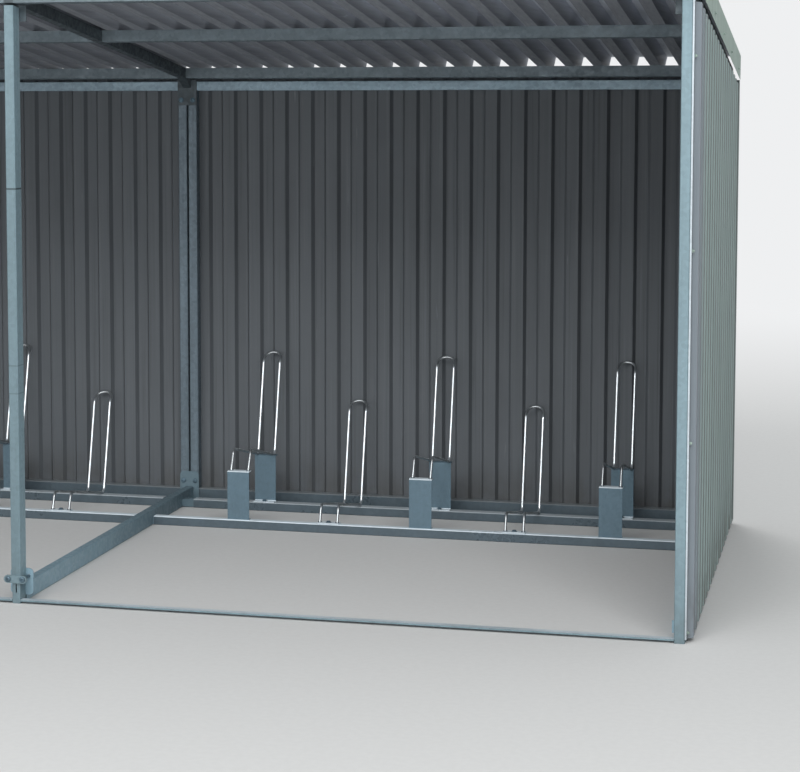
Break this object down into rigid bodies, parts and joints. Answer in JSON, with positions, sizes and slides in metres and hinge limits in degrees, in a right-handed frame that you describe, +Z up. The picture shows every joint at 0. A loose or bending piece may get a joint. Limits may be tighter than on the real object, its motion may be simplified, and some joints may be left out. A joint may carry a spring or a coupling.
{
  "type": "open-fronted bike shelter of two bays with wheel holders",
  "caption": "Galvanised steel bike shelter with a sloping trapezoidal roof, ribbed back and end walls, an open front and high and low wheel holders.",
  "frame": {"origin": "bottom centre of the shelter's bounding box, on the ground under the middle frame", "axes": "+X along the front to the right as seen from the open side, +Y to the back wall, +Z up"},
  "size_m": [4.078, 1.9106, 1.9151],
  "materials": {
    "frame_tube": "satin",
    "wall_sheet": "satin",
    "roof_sheet": "satin",
    "edge_trim": "satin",
    "holder_rod": "satin",
    "holder_stand": "satin"
  },
  "bodies": {
    "root": {"front_post_left": "frame_tube", "front_post_middle": "frame_tube", "front_post_right": "frame_tube", "post_foot": "frame_tube", "foot_clamp": "frame_tube", "base_tie_left": "frame_tube", "base_tie_middle": "frame_tube", "base_tie_right": "frame_tube", "rafter_left": "frame_tube", "rafter_middle": "frame_tube", "rafter_right": "frame_tube", "front_purlins": "frame_tube", "mid_purlins": "frame_tube", "rear_purlins": "frame_tube", "back_stiles_left": "frame_tube", "back_stiles_right": "frame_tube", "back_top_rails": "frame_tube", "back_bottom_rails": "frame_tube", "front_rack_rails": "frame_tube", "rear_rack_rails": "frame_tube", "front_sills": "frame_tube", "back_wall_left": "wall_sheet", "back_wall_right": "wall_sheet", "end_wall_left": "wall_sheet", "end_wall_right": "wall_sheet", "roof_sheet_left": "roof_sheet", "roof_sheet_right": "roof_sheet", "corner_trims": "edge_trim", "verge_flashings": "edge_trim", "side_battens": "edge_trim", "bike_holder_1": "holder_rod", "bike_holder_2": "holder_rod", "bike_holder_3": "holder_rod", "bike_holder_4": "holder_rod", "bike_holder_5": "holder_rod", "bike_holder_6": "holder_rod", "bike_holder_7": "holder_rod", "bike_holder_8": "holder_rod", "bike_holder_9": "holder_rod", "bike_holder_10": "holder_rod", "front_stands": "holder_stand", "rear_stands": "holder_stand", "base_plates": "holder_stand"}
  },
  "joints": []
}
